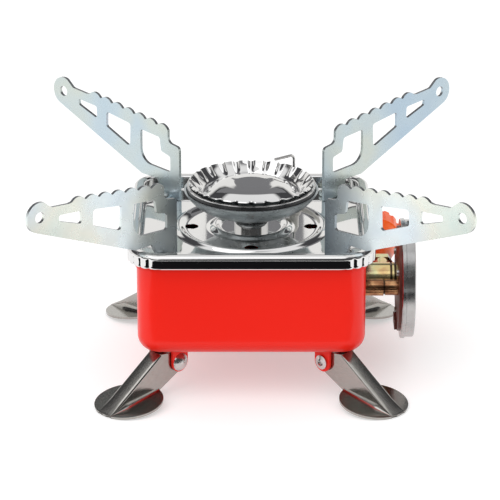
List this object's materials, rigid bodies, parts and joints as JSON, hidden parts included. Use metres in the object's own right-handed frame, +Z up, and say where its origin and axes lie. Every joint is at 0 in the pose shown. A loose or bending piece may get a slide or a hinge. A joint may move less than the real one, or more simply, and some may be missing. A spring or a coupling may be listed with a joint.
{
  "type": "gas burner",
  "caption": "Folding tabletop gas burner: square case on folding legs, tray lid with swinging pot supports, round fluted burner head, side valve and cartridge coupling.",
  "frame": {"origin": "on the ground under the middle of the case, legs and pot supports open", "axes": "+Z up, +X from the case towards the cartridge coupling, +Y towards the knob and the ignition button"},
  "size_m": [0.1624, 0.157, 0.0926],
  "materials": {
    "red_paint": "gloss red enamel",
    "polished_steel": "mirror polished stainless steel",
    "zinc_plate": "bright zinc plate with a faint tint",
    "leg_steel": "drawn stainless steel",
    "bowl_steel": "satin pressed steel",
    "brass": "turned brass",
    "bronze_post": "dark tinted brass",
    "dark_plate": "dark red-brown coat",
    "orange_plastic": "moulded orange plastic",
    "black_plastic": "moulded black plastic",
    "ceramic": "glazed white ceramic",
    "rubber": "black rubber",
    "bright_steel": "bright steel",
    "black_steel": "blackened steel"
  },
  "bodies": {
    "stove": {"case_shell": "red_paint", "tray_lid": "polished_steel", "burner_stem": "polished_steel", "burner_bowl": "bowl_steel", "burner_port_ring": "black_steel", "burner_cap": "polished_steel", "burner_nut": "brass", "mixing_tube": "bright_steel", "jet_nozzle": "brass", "valve_body": "brass", "valve_lock_nut": "brass", "support_post": "bronze_post", "post_nut": "bright_steel", "back_plate": "dark_plate", "coupling_ring": "polished_steel", "coupling_screws": "bright_steel", "inlet_nipple": "brass", "inlet_seal": "rubber", "gland_nut": "brass", "spindle_seal": "rubber", "igniter_body": "black_plastic", "igniter_nut": "black_plastic", "igniter_lead": "rubber", "electrode": "bright_steel", "electrode_insulator": "ceramic", "arm_rivets": "bright_steel", "leg_rivets": "bright_steel", "leg_bracket_rear_right": "red_paint", "leg_bracket_front_right": "red_paint", "leg_bracket_front_left": "red_paint", "leg_bracket_rear_left": "red_paint"},
    "flame_control": {"control_knob": "orange_plastic", "valve_spindle": "bright_steel", "knob_screw": "bright_steel"},
    "ignition_button": {"igniter_button": "black_plastic"},
    "support_rear_right": {"pot_support_rear_right": "zinc_plate"},
    "foot_rear_right": {"leg_rear_right": "leg_steel"},
    "support_front_right": {"pot_support_front_right": "zinc_plate"},
    "foot_front_right": {"leg_front_right": "leg_steel"},
    "support_front_left": {"pot_support_front_left": "zinc_plate"},
    "foot_front_left": {"leg_front_left": "leg_steel"},
    "support_rear_left": {"pot_support_rear_left": "zinc_plate"},
    "foot_rear_left": {"leg_rear_left": "leg_steel"}
  },
  "joints": [
    {"name": "support_swing_rear_right", "type": "hinge", "parent": "stove", "child": "support_rear_right", "pos_m": [0.0306, 0.0355, 0.0556], "axis": [0, 0, 1], "range_deg": [0, 136.8]},
    {"name": "support_swing_front_right", "type": "hinge", "parent": "stove", "child": "support_front_right", "pos_m": [0.0355, -0.0306, 0.0556], "axis": [0, 0, 1], "range_deg": [0, 133.2]},
    {"name": "support_swing_front_left", "type": "hinge", "parent": "stove", "child": "support_front_left", "pos_m": [-0.0306, -0.0355, 0.0556], "axis": [0, 0, 1], "range_deg": [0, 136.8]},
    {"name": "support_swing_rear_left", "type": "hinge", "parent": "stove", "child": "support_rear_left", "pos_m": [-0.0355, 0.0306, 0.0556], "axis": [0, 0, 1], "range_deg": [0, 133.2]},
    {"name": "leg_fold_rear_right", "type": "hinge", "parent": "stove", "child": "foot_rear_right", "pos_m": [0.03038, 0.03038, 0.0129], "axis": [-0.7071, 0.7071, 0], "range_deg": [0, 135]},
    {"name": "leg_fold_front_right", "type": "hinge", "parent": "stove", "child": "foot_front_right", "pos_m": [0.03038, -0.03038, 0.0129], "axis": [0.7071, 0.7071, 0], "range_deg": [0, 135]},
    {"name": "leg_fold_front_left", "type": "hinge", "parent": "stove", "child": "foot_front_left", "pos_m": [-0.03038, -0.03038, 0.0129], "axis": [0.7071, -0.7071, 0], "range_deg": [0, 135]},
    {"name": "leg_fold_rear_left", "type": "hinge", "parent": "stove", "child": "foot_rear_left", "pos_m": [-0.03038, 0.03038, 0.0129], "axis": [-0.7071, -0.7071, 0], "range_deg": [0, 135]},
    {"name": "flame_turn", "type": "hinge", "parent": "stove", "child": "flame_control", "pos_m": [0.0514, 0.03, 0.034], "axis": [0, 1, 0], "range_deg": [0, 270]},
    {"name": "ignition_press", "type": "slide", "parent": "stove", "child": "ignition_button", "axis": [0, -1, 0], "range_m": [0, 0.005], "stiffness_N_per_m": 1500, "springref_m": -0.002}
  ]
}
